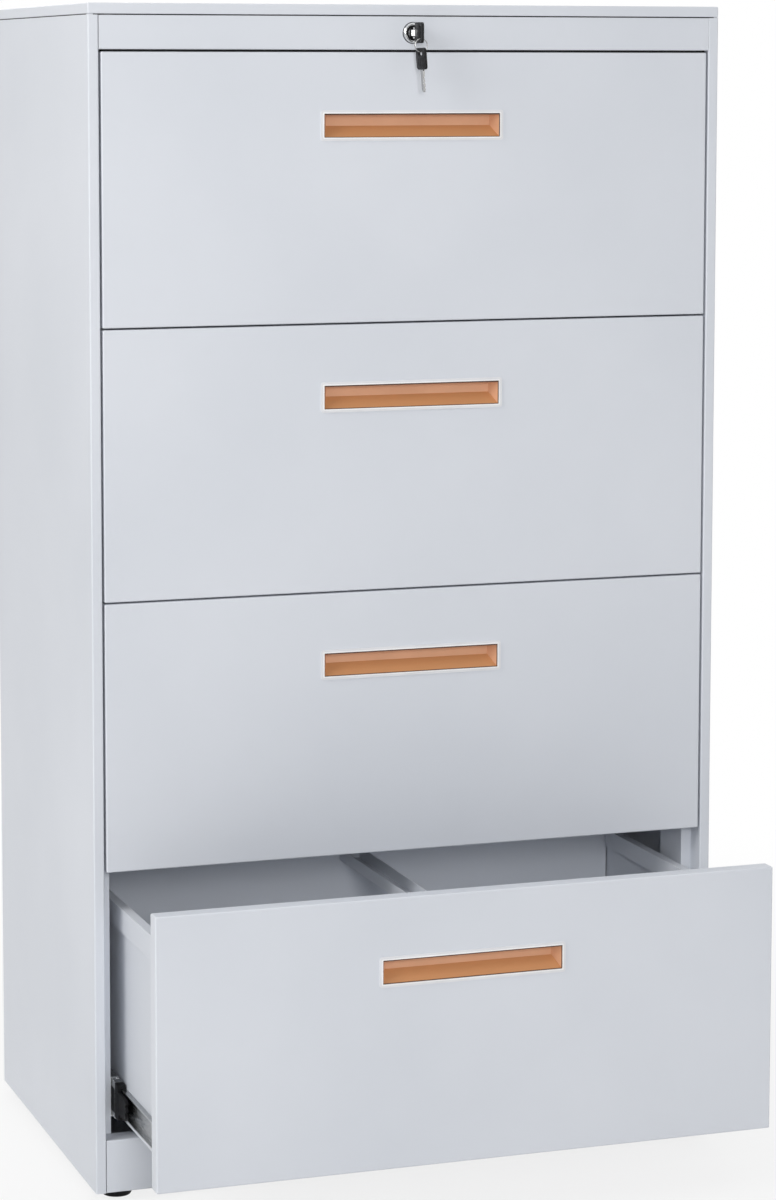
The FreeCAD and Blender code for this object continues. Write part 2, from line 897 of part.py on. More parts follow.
def key_bow():
    block = box(
        "-bow_thickness / 2",
        f"-{slot_margin}",
        "-bow_width / 2",
        "bow_thickness",
        "bow_length",
        "bow_width",
    )
    half_thickness = value("bow_thickness") / 2
    plate = rounded(block, "bow_corner", lambda b: b.XLength > half_thickness)
    ends = [
        rod(ALONG_X, "bow_slot_radius", "2 * cut_overrun", "-cut_overrun", "0", f"{side} * {slot_reach}")
        for side in (-1, 1)
    ]
    middle = box(
        "-cut_overrun",
        "-bow_slot_radius",
        f"-{slot_reach}",
        "2 * cut_overrun",
        "2 * bow_slot_radius",
        f"2 * {slot_reach}",
    )
    return cut(plate, fuse(middle, *ends))


blade = key_blade()
bow = key_bow()
key_y = f"{front_y} - key_standoff"
node("key_blade", blade, y=key_y, z=lock_z)
node("key_bow", bow, y=key_y, z=lock_z)

# Ring: hangs in the lower end of the key's slot and carries the spare key
wire_lift = "(ring_wire_radius + ring_play)"
ring_top = f"({lock_z} - bow_width / 2 + bow_bar + {wire_lift})"
ring_z = f"({ring_top} - ring_radius)"
ring = doc.addObject("Part::Torus", "ring")
ring.Placement = FreeCAD.Placement(FreeCAD.Vector(), FreeCAD.Rotation(FreeCAD.Vector(*ALONG_X), 90))
bind(ring, Radius1="ring_radius", Radius2="ring_wire_radius")
node("key_ring", ring, y=key_y, z=ring_z)

hanging = FreeCAD.Rotation(FreeCAD.Vector(*ALONG_Z), SPARE_KEY_TURN_DEGREES).multiply(
    FreeCAD.Rotation(FreeCAD.Vector(*ALONG_X), -90)
)
for label, shape in (("spare_key_blade", blade), ("spare_key_bow", bow)):
    spare = node(label, shape)
    spare.Placement = FreeCAD.Placement(FreeCAD.Vector(), hanging)
    place(spare, y=key_y, z=f"{ring_z} - ring_radius + {wire_lift} - bow_slot_radius")

# Levelling feet: a tapered pad on a threaded stud, and the nuts on the bottom panel
nuts = []
for corner, (x, y) in foot_places.items():
    pad = doc.addObject("Part::Cone", "pad")
    bind(pad, Radius1="foot_tip_radius", Radius2="foot_radius", Height="foot_height - foot_top_gap")
    place(pad, x, y)
    stud = rod(ALONG_Z, "stud_radius", "stud_length", x, y, "foot_height - foot_top_gap")
    cabinet_node(f"{corner}_foot", group(pad, stud))
    nut_base = "foot_height + sheet_thickness"
    nut = rod(ALONG_Z, "nut_radius", "nut_height", x, y, nut_base)
    thread = rod(
        ALONG_Z,
        "stud_radius + running_clearance",
        "nut_height + 2 * cut_overrun",
        x,
        y,
        f"{nut_base} - cut_overrun",
    )
    nuts.append(cut(nut, thread))
cabinet_node("foot_nuts", group(*nuts))

# Panel screws: hold the top panel's returns down on the side flanges
screws = []
for side in (-1, 1):
    for y in screw_rows:
        x = f"{side} * ({half_width} - screw_inset)"
        under = f"{body_top} - sheet_thickness"
        head = rod(
            ALONG_Z, "screw_head_radius", "screw_head_height", x, y, f"{under} - screw_head_height"
        )
        shank = rod(ALONG_Z, "screw_radius", "4 * sheet_thickness", x, y, under)
        screws.append(fuse(head, shank))
cabinet_node("panel_screws", group(*screws))

doc.recompute()
failed = [obj.Name for obj in doc.Objects if {"Invalid", "Error"} & set(obj.State)]
if failed:
    raise RuntimeError(f"objects that failed: {failed}")
for part in NODES:
    if part.Shape.isNull() or not part.Shape.isValid() or not part.Shape.Solids:
        raise RuntimeError(f"{part.Label} has no valid shape")

os.makedirs("parts", exist_ok=True)
for part in NODES:
    part.Shape.exportStep(f"parts/{part.Label}.step")
print(f"wrote {len(NODES)} sub-parts with {sum(len(p.Shape.Solids) for p in NODES)} solids")
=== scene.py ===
# %% [markdown]
# Lateral filing cabinet, dressed for its portrait.
# The cabinet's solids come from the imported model, loaded as a fixed frame in metres: +X is right, +Y is back
# and +Z is up. They could be modelled again from nothing, but they already have the right sizes and joints.
# So this lesson only adds what they lack: the camera, the finishes, small trim and a studio.

# %% Load the frame
import json
import math

import bmesh
import bpy
from mathutils import Matrix, Vector


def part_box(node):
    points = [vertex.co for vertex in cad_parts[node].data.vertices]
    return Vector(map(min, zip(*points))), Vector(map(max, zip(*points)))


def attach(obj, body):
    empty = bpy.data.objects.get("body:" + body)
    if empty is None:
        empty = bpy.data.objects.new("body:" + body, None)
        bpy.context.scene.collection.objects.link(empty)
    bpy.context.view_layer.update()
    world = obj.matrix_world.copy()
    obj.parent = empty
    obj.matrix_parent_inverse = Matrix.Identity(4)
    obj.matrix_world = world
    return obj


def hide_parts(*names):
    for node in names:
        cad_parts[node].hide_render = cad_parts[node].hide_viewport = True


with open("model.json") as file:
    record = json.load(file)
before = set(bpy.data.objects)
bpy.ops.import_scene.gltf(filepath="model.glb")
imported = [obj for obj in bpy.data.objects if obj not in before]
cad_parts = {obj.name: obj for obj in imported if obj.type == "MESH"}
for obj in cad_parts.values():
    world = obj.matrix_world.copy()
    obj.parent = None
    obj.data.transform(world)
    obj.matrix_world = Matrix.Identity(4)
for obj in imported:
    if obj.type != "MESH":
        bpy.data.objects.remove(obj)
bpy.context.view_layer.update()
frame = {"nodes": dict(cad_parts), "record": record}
nodes = frame["nodes"]
scene = bpy.context.scene
drawers = (1, 2, 3, 4)
front_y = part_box("lock_rail")[0].y
print("loaded", len(nodes), "nodes; the cabinet's front is at y =", round(front_y, 4))

# %% [markdown]
# The photograph was taken from the front left, a little below the cabinet's top, and looks slightly down.
# A camera can be placed by eye, but then sizes and angles drift. Here its place and its angles were solved
# from corners measured in the photograph. The focal length in pixels becomes millimetres through the
# long side of the 776 x 1200 picture, and a small shift does the framing.

# %% Camera
picture = (776, 1200)
principal = (340, 420)
focal_px = 3377
yaw = math.radians(18.62)
pitch = math.radians(-5.86)

camera_data = bpy.data.cameras.new("camera")
camera = bpy.data.objects.new("camera", camera_data)
scene.collection.objects.link(camera)
scene.camera = camera
camera_data.sensor_width = 36
camera_data.lens = focal_px * camera_data.sensor_width / picture[1]
camera_data.shift_x = (picture[0] / 2 - principal[0]) / picture[1]
camera_data.shift_y = (principal[1] - picture[1] / 2) / picture[1]
camera_data.clip_end = 50
camera.location = (-1.284, front_y - 3.557, 1.257)
camera.rotation_euler = (math.pi / 2 + pitch, 0, -yaw)
print("camera lens", round(camera_data.lens, 1), "mm")

# %% [markdown]
# Paint, moulded plastic and plated steel are never one flat colour: the tone drifts over a surface, and
# a fine grain catches the light. Pictures wrapped round each piece could show that, but they need
# unwrapping. Noise in the piece's own space needs none, and it stays put when the piece moves. Lengths are
# in metres, so a noise scale of 1000 gives grains of about a millimetre.


# %% Noise field
def noise_field(tree, place, scale, detail):
    """Noise at a place's coordinates, with about this many grains to the metre."""
    field = tree.nodes.new("ShaderNodeTexNoise")
    field.inputs["Scale"].default_value = scale
    field.inputs["Detail"].default_value = detail
    tree.links.new(place.outputs["Vector"], field.inputs["Vector"])
    return field


def set_range(node, *limits):
    """Sets the limits of a map range: from low and high, then to low and high."""
    for socket, limit in zip(("From Min", "From Max", "To Min", "To Max"), limits):
        node.inputs[socket].default_value = limit


print("noise is counted in grains to the metre")

# %% [markdown]
# One recipe makes every finish of the cabinet. Each could have a node tree drawn by hand, but the grain of
# neighbours would soon be out of scale. In the recipe, broad noise blends two close colours, and fine noise
# sets the roughness and lifts the surface a little. The bump is a strength and a height in metres.

# %% Finish recipe
finishes = {}


def surface_finish(name, dark, light, rough, grain, bump, metal=0.0, patch=3.0, stretch=(1, 1, 1)):
    """Adds a finish with two close colours, a range of roughness and a fine grain."""
    made = bpy.data.materials.new(name)
    made.use_nodes = True
    tree = made.node_tree
    shader = tree.nodes["Principled BSDF"]
    shader.inputs["Metallic"].default_value = metal
    own_space = tree.nodes.new("ShaderNodeTexCoord")
    place = tree.nodes.new("ShaderNodeMapping")
    place.inputs["Scale"].default_value = stretch
    tree.links.new(own_space.outputs["Object"], place.inputs["Vector"])
    broad = noise_field(tree, place, patch, 3)
    fine = noise_field(tree, place, grain, 2)
    colours = tree.nodes.new("ShaderNodeValToRGB")
    for stop, position, colour in zip(colours.color_ramp.elements, (0.35, 0.65), (dark, light)):
        stop.position = position
        stop.color = (*colour, 1)
    tree.links.new(broad.outputs["Fac"], colours.inputs["Fac"])
    tree.links.new(colours.outputs["Color"], shader.inputs["Base Color"])
    gloss = tree.nodes.new("ShaderNodeMapRange")
    set_range(gloss, 0.3, 0.7, *rough)
    tree.links.new(fine.outputs["Fac"], gloss.inputs["Value"])
    tree.links.new(gloss.outputs["Result"], shader.inputs["Roughness"])
    relief = tree.nodes.new("ShaderNodeBump")
    relief.inputs["Strength"].default_value, relief.inputs["Distance"].default_value = bump
    tree.links.new(fine.outputs["Fac"], relief.inputs["Height"])
    tree.links.new(relief.outputs["Normal"], shader.inputs["Normal"])
    finishes[name] = made


print("recipe ready: broad patches for colour, fine grain for roughness and bump")

# %% [markdown]
# Nearly all of the cabinet is sheet steel in a pale grey-blue powder coat. The powder melts in an oven and
# flows out with a faint orange peel. A smooth shader would look like wet enamel, so this finish is half matt,
# and its low bump has grains of about a millimetre and a half.

# %% Powder coat
surface_finish(
    "powder_coat", dark=(0.640, 0.668, 0.720), light=(0.680, 0.706, 0.757),
    rough=(0.42, 0.52), grain=700, bump=(0.10, 0.0003),
)
print("powder coat ready")

# %% [markdown]
# Each pull is a pale moulded frame round a copper orange cup. A lighter copy of the frame plastic paints a
# highlight on the lip, and a dark copy of the cup plastic paints the shadow in the gap between them. One
# plastic in four colours would do from far away. But the frame and the lip are smoother than the cup, which has
# the grain of its mould, so each gets a row of its own.

# %% Pull plastics
surface_finish(
    "frame_plastic", dark=(0.71, 0.715, 0.74), light=(0.75, 0.755, 0.78),
    rough=(0.30, 0.40), grain=900, bump=(0.06, 0.0002), patch=40,
)
# A lighter copy of the frame plastic: a painted highlight on the lip.
surface_finish(
    "lip_highlight_plastic", dark=(0.86, 0.86, 0.86), light=(0.90, 0.90, 0.90),
    rough=(0.25, 0.35), grain=900, bump=(0.05, 0.0002), patch=40,
)
# A dark brown copy of the cup plastic: a painted shadow in the gap.
surface_finish(
    "shadow_ring_plastic", dark=(0.060, 0.025, 0.012), light=(0.085, 0.038, 0.020),
    rough=(0.5, 0.6), grain=900, bump=(0.05, 0.0002), patch=40,
)
surface_finish(
    "cup_plastic", dark=(0.665, 0.358, 0.210), light=(0.705, 0.386, 0.230),
    rough=(0.42, 0.52), grain=1100, bump=(0.12, 0.0002), patch=30,
)
print(len(finishes), "finishes so far")

# %% [markdown]
# Feet, slide stops and key bows are black plastic, and so are the black strips that paint shadow into two
# seams.
# The bows are worn shinier by hands. A darker colour alone isn't enough, because any gloss turns black into
# grey under white light. So the specular level is lowered too, straight on the shader.

# %% Black plastics
surface_finish(
    "black_plastic", dark=(0.006, 0.006, 0.007), light=(0.012, 0.012, 0.013),
    rough=(0.42, 0.58), grain=1500, bump=(0.2, 0.0002), patch=90,
)
surface_finish(
    "bow_plastic", dark=(0.005, 0.005, 0.006), light=(0.020, 0.020, 0.022),
    rough=(0.34, 0.50), grain=1300, bump=(0.35, 0.0003), patch=400,
)
shine = {"black_plastic": 0.1, "bow_plastic": 0.18}
for name, specular in shine.items():
    finishes[name].node_tree.nodes["Principled BSDF"].inputs["Specular IOR Level"].default_value = specular
print("specular levels:", shine)

# %% [markdown]
# The slides are rolled steel with a zinc skin, the lock is chromed, and the keys are brushed nickel silver.
# A true anisotropic shader could show the rolling and brushing, but it needs tangents on every mesh.
# Here the grain is simply stretched along the direction in which the metal was worked.

# %% Metals
surface_finish(
    "zinc_steel", dark=(0.36, 0.37, 0.38), light=(0.50, 0.51, 0.52), metal=1.0,
    rough=(0.22, 0.38), grain=260, bump=(0.10, 0.0002), patch=14, stretch=(6, 0.25, 6),
)
surface_finish(
    "chrome", dark=(0.50, 0.51, 0.52), light=(0.66, 0.67, 0.68), metal=1.0,
    rough=(0.06, 0.13), grain=500, bump=(0.03, 0.0001), patch=60,
)
surface_finish(
    "key_steel", dark=(0.40, 0.40, 0.40), light=(0.54, 0.54, 0.53), metal=1.0,
    rough=(0.18, 0.32), grain=900, bump=(0.1, 0.0001), patch=120, stretch=(4, 4, 0.6),
)
print(len(finishes), "finishes in all")

# %% [markdown]
# The folds of powder coat and zinc catch the light in thin bright lines, painted here into the colour as a
# highlight. Painting them would take a mask for every part. A bevel node finds the edges instead: near a fold,
# its rounded normal turns away from the true one, and the lighter colour is mixed in there as a painted
# highlight.


# %% Painted edge highlights
def mix_over(made, mask, colour):
    """Mixes a colour over a finish's base colour, where the mask's result is one."""
    tree = made.node_tree
    shader = tree.nodes["Principled BSDF"]
    base = shader.inputs["Base Color"].links[0].from_socket
    mix = tree.nodes.new("ShaderNodeMix")
    mix.data_type = "RGBA"
    mix.inputs["B"].default_value = colour
    tree.links.new(mask.outputs["Result"], mix.inputs["Factor"])
    tree.links.new(base, mix.inputs["A"])
    tree.links.new(mix.outputs["Result"], shader.inputs["Base Color"])


def paint_edge_highlights(made, colour, radius, flat=0.99, folded=0.80):
    """Mixes a lighter colour in where the surface bends within the radius: a painted highlight on the edges."""
    tree = made.node_tree
    bevel = tree.nodes.new("ShaderNodeBevel")
    bevel.samples = 4
    bevel.inputs["Radius"].default_value = radius
    geometry = tree.nodes.new("ShaderNodeNewGeometry")
    match = tree.nodes.new("ShaderNodeVectorMath")
    match.operation = "DOT_PRODUCT"
    tree.links.new(bevel.outputs["Normal"], match.inputs[0])
    tree.links.new(geometry.outputs["Normal"], match.inputs[1])
    mask = tree.nodes.new("ShaderNodeMapRange")
    set_range(mask, flat, folded)
    tree.links.new(match.outputs["Value"], mask.inputs["Value"])
    mix_over(made, mask, colour)


# Painted highlights along the folds of powder coat and zinc.
paint_edge_highlights(finishes["powder_coat"], (0.78, 0.80, 0.84, 1), radius=0.0012)
paint_edge_highlights(finishes["zinc_steel"], (0.80, 0.81, 0.82, 1), radius=0.0008)
print("lighter edges on powder coat and zinc")

# %% [markdown]
# The sloping floor of a pull cup lies in more shade than its back wall, so it looks a deeper, darker orange.
# That shade is painted into the colour. It could be a second material, but the cup is one solid with one slot.
# So the colour follows the surface itself: the more it looks up, the deeper and darker the painted shade.


# %% Painted shade on the cup floors
def shade_upward_faces(made, colour, wall=0.1, slope=0.7):
    """Mixes a colour in where the surface looks up; for the cups it is painted shade."""
    tree = made.node_tree
    geometry = tree.nodes.new("ShaderNodeNewGeometry")
    parts = tree.nodes.new("ShaderNodeSeparateXYZ")
    tree.links.new(geometry.outputs["Normal"], parts.inputs["Vector"])
    mask = tree.nodes.new("ShaderNodeMapRange")
    set_range(mask, wall, slope)
    tree.links.new(parts.outputs["Z"], mask.inputs["Value"])
    mix_over(made, mask, colour)


# Painted shade: a darker orange on the upward faces of the cups.
shade_upward_faces(finishes["cup_plastic"], (0.595, 0.288, 0.127, 1))
print("deeper orange on the floors of the cups")

# %% [markdown]
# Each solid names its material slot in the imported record, as a drawing names the paint of a part.
# The finishes could be picked by hand for all 60 nodes. Reading the record instead can't miss one.

# %% Finishes on the solids
slot_of = {part["node"]: part["material_slot"] for part in frame["record"]["subparts"]}
for name, node in nodes.items():
    node.data.materials.clear()
    node.data.materials.append(finishes[slot_of[name]])
print("finishes on", len(nodes), "nodes")

# %% [markdown]
# The small trim is built in mesh code, and each piece is fixed to something real: a tray, a slide, the body.
# Parenting it to an object would do for a still picture. Here it rides on a body of the frame instead, so
# that it follows that body's joint. Some pieces are a finer form of a solid, and stand for it.


# %% Fitting a piece
def fit_piece(name, mesh, body, slot, replaced=(), look=None):
    """A mesh as an object that rides on a body and may stand for solids; the look is its finish."""
    mesh.materials.clear()
    mesh.materials.append(finishes[look or slot])
    made = bpy.data.objects.new(name, mesh)
    scene.collection.objects.link(made)
    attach(made, body)
    if replaced:
        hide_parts(*replaced)
    return made


# %% [markdown]
# Turned and folded metal has both smooth faces and crisp edges. Flat shading shows facets on a turned head,
# and smooth shading alone smears the folds. So every face is smooth, and an edge stays sharp where its two
# faces meet at more than a set angle.


# %% Smooth faces, sharp folds
def smooth_mesh(shape, name, smooth_degrees=35):
    """The mesh of a bmesh, shaded smooth except at its sharp edges."""
    bmesh.ops.recalc_face_normals(shape, faces=shape.faces)
    limit = math.radians(smooth_degrees)
    for edge in shape.edges:
        edge.smooth = len(edge.link_faces) == 2 and edge.calc_face_angle() < limit
    for face in shape.faces:
        face.smooth = True
    mesh = bpy.data.meshes.new(name)
    shape.to_mesh(mesh)
    shape.free()
    return mesh


print("edges sharper than 35 degrees stay crisp, unless a piece says otherwise")

# %% [markdown]
# Screw heads, balls, rivets, rings and feet are turned parts. A screw modifier could spin each one, but it
# would have to be applied piece by piece. This short lathe spins a profile straight into a mesh, so one mesh
# can hold a whole row of parts. A matrix then stands the part on a surface.


# %% Turned parts
def lathe(shape, profile, turn, segments=32, wave=None, hollow=False, lid=True):
    """Spins a profile of (radius, height) pairs about +Z; a hollow one closes on itself as a ring."""
    rings = []
    for radius, height in profile:
        ring = []
        for k in range(segments):
            angle = 2 * math.pi * k / segments
            reach = radius * (wave(k, height) if wave else 1)
            point = Vector((reach * math.cos(angle), reach * math.sin(angle), height))
            ring.append(shape.verts.new(turn @ point))
        rings.append(ring)
    for low, high in zip(rings, rings[1:] + rings[:1] if hollow else rings[1:]):
        for k in range(segments):
            after = (k + 1) % segments
            shape.faces.new((low[k], low[after], high[after], high[k]))
    if not hollow:
        shape.faces.new(rings[0])
        if lid:
            shape.faces.new(rings[-1])
    return rings[-1]


def standing_on(point, axis):
    """A matrix that turns +Z to an axis and moves it to a point."""
    turned = Vector((0, 0, 1)).rotation_difference(Vector(axis)).to_matrix().to_4x4()
    return Matrix.Translation(point) @ turned


print("lathe ready for balls, screws, rings, feet and rivets")

# %% [markdown]
# Plastic stops, gaskets and foam strips have one outline along their whole length. A plain box would lose
# their lips and chamfers. This helper joins two copies of an outline into a closed bar.


# %% Extruded bars
def extrude_bar(shape, ends):
    """A closed bar between two outlines with the same number of points."""
    first, second = [[shape.verts.new(point) for point in outline] for outline in ends]
    for k in range(len(first)):
        after = (k + 1) % len(first)
        shape.faces.new((first[k], first[after], second[after], second[k]))
    shape.faces.new(first)
    shape.faces.new(second)


print("bars ready for slide stops, the top seam and the rail strip")

# %% [markdown]
# A drawer slide runs on steel balls, in two lanes between its members. Whole spheres would be hidden for
# the most part, so each ball is a low dome where it shows through its retainer. The balls ride with the
# middle member, as the real ones nearly do.

# %% Slide balls
ball_count, ball_pitch, lane_height = 14, 0.011, 0.01745
web_thickness, retainer_depth = 0.0012, 0.005
ball_dome = ((0.0019, 0), (0.0017, 0.0004), (0.0012, 0.0007), (0.0004, 0.0009))


def slide_web(low, high, side):
    """The inner face of a middle member's web, on the left (-1) or the right (1)."""
    return (low.x if side < 0 else high.x) - side * web_thickness


for n in drawers:
    low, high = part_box(f"drawer_{n}_mid_slides")
    middle_z = (low.z + high.z) / 2
    first_y = (low.y + high.y) / 2 - ball_pitch * (ball_count - 1) / 2
    balls = bmesh.new()
    for side in (-1, 1):
        face = slide_web(low, high, side) - side * retainer_depth
        for lane in (-1, 1):
            for k in range(ball_count):
                spot = Vector((face, first_y + ball_pitch * k, middle_z + lane * lane_height))
                lathe(balls, ball_dome, standing_on(spot, (-side, 0, 0)), segments=10)
    fit_piece(
        f"drawer_{n}_slide_balls", smooth_mesh(balls, "slide_balls", 60), f"drawer_{n}_mid", "zinc_steel"
    )
print(4 * ball_count, "balls on each of", len(drawers), "drawers")

# %% [markdown]
# At its front end the middle member wears a black plastic stop: a C-shaped clip with a thicker ear in front,
# a thin sleeve over the steel, and a wavy tongue that reaches forward into the inner member. One block would
# fill the channel, and the inner member couldn't run through it. Four extruded outlines leave that room,
# and a bevel softens them as a mould would.

# %% Slide stops
# Clip and ear are outlines of (away from the web, up); tongue and sleeve are outlines of (back, up).
clip = [(0, -0.0190), (0.0070, -0.0190), (0.0070, -0.0160), (0.0026, -0.0156)]
clip += [(0.0026, 0.0156), (0.0070, 0.0160), (0.0070, 0.0190), (0, 0.0190)]
ear = [(-0.0010, -0.0200), (0.0086, -0.0200), (0.0086, -0.0160), (0.0026, -0.0156)]
ear += [(0.0026, 0.0156), (0.0086, 0.0160), (0.0086, 0.0200), (-0.0010, 0.0200)]
tongue = [(-0.0130, -0.0125), (-0.0400, -0.0125), (-0.0455, -0.0080), (-0.0425, -0.0040), (-0.0460, 0)]
tongue += [(-0.0425, 0.0040), (-0.0455, 0.0080), (-0.0400, 0.0125), (-0.0130, 0.0125)]
sleeve = [(0.0250, -0.0150), (0, -0.0150), (0, 0.0115), (0.0040, 0.0130), (0.0250, 0.0130)]
along = ((clip, (0.0135, 0.0)), (ear, (0.0004, -0.0130)))
across = ((tongue, (-0.0008, 0.0026)), (sleeve, (-0.00142, -0.0012)))

for n in drawers:
    low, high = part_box(f"drawer_{n}_mid_slides")
    middle_z = (low.z + high.z) / 2
    stops = bmesh.new()
    for side in (-1, 1):
        web = slide_web(low, high, side)
        for outline, reach in along:
            extrude_bar(
                stops, [[(web - side * u, low.y + y, middle_z + v) for u, v in outline] for y in reach]
            )
        for outline, reach in across:
            extrude_bar(
                stops, [[(web - side * u, low.y + y, middle_z + v) for y, v in outline] for u in reach]
            )
    stop = fit_piece(
        f"drawer_{n}_slide_stops", smooth_mesh(stops, "slide_stops"), f"drawer_{n}_mid", "black_plastic"
    )
    soft = stop.modifiers.new("soft_edges", "BEVEL")
    soft.width = 0.0004
    soft.segments = 2
print("two stops on each of", len(drawers), "drawers")

# %% [markdown]
# The tray screws have pan heads: a low dome with a cross pressed into it. A dark cross could be painted on,
# but it would look flat from the side. Here the dome's top ring is joined to a cross-shaped rim, and the
# rim to a smaller cross below it, so the recess is real. All its sizes are shares of the head's radius.

# %% Screw head
head_radius, dome_share, arm_share, slot_share = 0.0038, 0.55, 0.42, 0.11
pit_share, pit_level = 0.7, 0.45


def screw_head(shape, spot, axis, radius):
    """A pan head with a cross recess."""
    turn = standing_on(spot, axis)
    height = radius * dome_share
    profile = ((radius, 0), (radius * 0.97, height * 0.4), (radius * 0.8, height * 0.8), (radius * 0.6, height))
    crown = lathe(shape, profile, turn, segments=24, lid=False)
    arm, thin = radius * arm_share, radius * slot_share
    corners = [(arm, -thin), (arm, thin), (thin, thin), (thin, arm), (-thin, arm), (-thin, thin)]
    corners += [(-arm, thin), (-arm, -thin), (-thin, -thin), (-thin, -arm), (thin, -arm), (thin, -thin)]
    cross = []
    for k in range(len(corners)):
        (u0, v0), (u1, v1) = corners[k], corners[(k + 1) % len(corners)]
        cross += [((u0 + u1) / 2, (v0 + v1) / 2), (u1, v1)]
    rim = [shape.verts.new(turn @ Vector((u, v, height))) for u, v in cross]
    pit = [shape.verts.new(turn @ Vector((u * pit_share, v * pit_share, height * pit_level))) for u, v in cross]
    for k in range(len(cross)):
        after = (k + 1) % len(cross)
        shape.faces.new((crown[k], crown[after], rim[after], rim[k]))
        shape.faces.new((rim[k], rim[after], pit[after], pit[k]))
    shape.faces.new(pit)


print("screw heads are", round(head_radius * 2000, 1), "mm across")

# %% [markdown]
# Screws hold each tray to its slides and to the drawer front, and their heads show inside the open tray.
# They could be copies of one object, but then every screw would be a piece of its own. One mesh for each
# drawer holds them all and rides on that drawer.

# %% Tray screws
sheet = 0.0008
slide_shares = (0.12, 0.5, 0.88)
front_columns = (-0.28, -0.10, 0.10, 0.28)
above_floor, below_rim = 0.028, 0.035
for n in drawers:
    tray_low, tray_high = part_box(f"drawer_{n}_tray")
    slide_low, slide_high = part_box(f"drawer_{n}_inner_slides")
    slide_z = (slide_low.z + slide_high.z) / 2
    wall = -tray_low.x - sheet
    heads = bmesh.new()
    for side in (-1, 1):
        for share in slide_shares:
            y = tray_low.y + share * (tray_high.y - tray_low.y)
            screw_head(heads, Vector((side * wall, y, slide_z)), (-side, 0, 0), head_radius)
    for x in front_columns:
        for z in (tray_low.z + above_floor, tray_high.z - below_rim):
            screw_head(heads, Vector((x, tray_low.y + sheet, z)), (0, 1, 0), head_radius)
    fit_piece(f"drawer_{n}_tray_screws", smooth_mesh(heads, "tray_screws", 40), f"drawer_{n}", "zinc_steel")
print(2 * (len(slide_shares) + len(front_columns)), "screws in each tray")

# %% [markdown]
# Key plates and the split ring start as curves, because a curve gives a plate or a wire its thickness and
# soft edges in one go. A curve could stay a curve, but its sides and its ends aren't joined. So its mesh is
# kept instead, with the points along that seam merged, and the result is a closed solid.


# %% Curves into solids
def closed_curve_mesh(name, curve):
    """The closed mesh of a curve, with the seams between its sides and ends joined."""
    holder = bpy.data.objects.new(name, curve)
    mesh = bpy.data.meshes.new_from_object(holder)
    bpy.data.objects.remove(holder)
    bpy.data.curves.remove(curve)
    joined = bmesh.new()
    joined.from_mesh(mesh)
    bmesh.ops.remove_doubles(joined, verts=joined.verts, dist=0.000001)
    joined.to_mesh(mesh)
    joined.free()
    return mesh


print("curves become closed solids")

# %% [markdown]
# Pull rings and keys are flat, with rounded corners and holes. Holes could be cut with booleans, but those
# leave ragged faces. A filled 2D curve takes an inner loop as a hole, and bevels every rim alike.


# %% Flat plates
def cut_plate(name, loops, half_thickness, bevel):
    """A flat plate from closed loops in its own XY plane; an inner loop is a hole."""
    flat = bpy.data.curves.new(name, "CURVE")
    flat.dimensions = "2D"
    flat.fill_mode = "BOTH"
    flat.extrude = half_thickness - bevel
    flat.bevel_depth = bevel
    flat.bevel_resolution = 2
    flat.offset = -bevel
    for loop in loops:
        spline = flat.splines.new("POLY")
        spline.points.add(len(loop) - 1)
        for point, (u, v) in zip(spline.points, loop):
            point.co = (u, v, 0, 1)
        spline.use_cyclic_u = True
    return closed_curve_mesh(name, flat)


def rounded_outline(u0, v0, u1, v1, radius, steps=6):
    """A rectangle with rounded corners, as a list of points."""
    corners = ((u1 - radius, v0 + radius, -90), (u1 - radius, v1 - radius, 0))
    corners += ((u0 + radius, v1 - radius, 90), (u0 + radius, v0 + radius, 180))
    loop = []
    for u, v, start in corners:
        for k in range(steps + 1):
            angle = math.radians(start + 90 * k / steps)
            loop.append((u + radius * math.cos(angle), v + radius * math.sin(angle)))
    return loop


print("plates ready for pull trim and keys")

# %% [markdown]
# Round the opening of the frame, a lip ring in a lighter plastic is a painted highlight, and just inside it a
# dark ring is a painted shadow in the gap, widest at the top. Both could be drawn into a material, but then
# they would blur with the grain. A flat plate with a hole makes each ring, so its corners stay crisp.

# %% Pull lip highlight and gap shadow
border, lip_width, gap_side, gap_top, gap_depth = 0.0038, 0.0014, 0.0007, 0.0014, 0.0014
tight_corner, lip_corner = 0.0006, 0.0015
stand = Matrix.Rotation(math.pi / 2, 4, "X")
for n in drawers:
    low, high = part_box(f"drawer_{n}_pull_frame")
    middle_z = (low.z + high.z) / 2
    half_x = high.x - border
    half_z = (high.z - low.z) / 2 - border
    opening = rounded_outline(-half_x, -half_z, half_x, half_z, tight_corner)[::-1]
    out_x, out_z = half_x + lip_width, half_z + lip_width
    rim = rounded_outline(-out_x, -out_z, out_x, out_z, lip_corner)
    # The lip ring wears the lighter plastic, a painted highlight.
    lip = cut_plate("pull_lip", [rim, opening], 0.0003, 0.0001)
    lip.transform(Matrix.Translation((0, low.y, middle_z)) @ stand)
    fit_piece(f"drawer_{n}_pull_lip", lip, f"drawer_{n}", "frame_plastic", look="lip_highlight_plastic")
    # A dark ring just inside the opening: painted shadow in the gap between frame and cup.
    in_x = half_x - gap_side
    inside = rounded_outline(-in_x, -half_z + gap_side, in_x, half_z - gap_top, tight_corner)[::-1]
    shadow_ring = cut_plate("pull_shadow_ring", [opening[::-1], inside], 0.0004, 0.0001)
    shadow_ring.transform(Matrix.Translation((0, low.y + gap_depth, middle_z)) @ stand)
    fit_piece(f"drawer_{n}_pull_shadow_ring", shadow_ring, f"drawer_{n}", "cup_plastic", look="shadow_ring_plastic")
print("lip and reveal on", len(drawers), "pulls, each opening", round(half_x * 2000), "mm long")

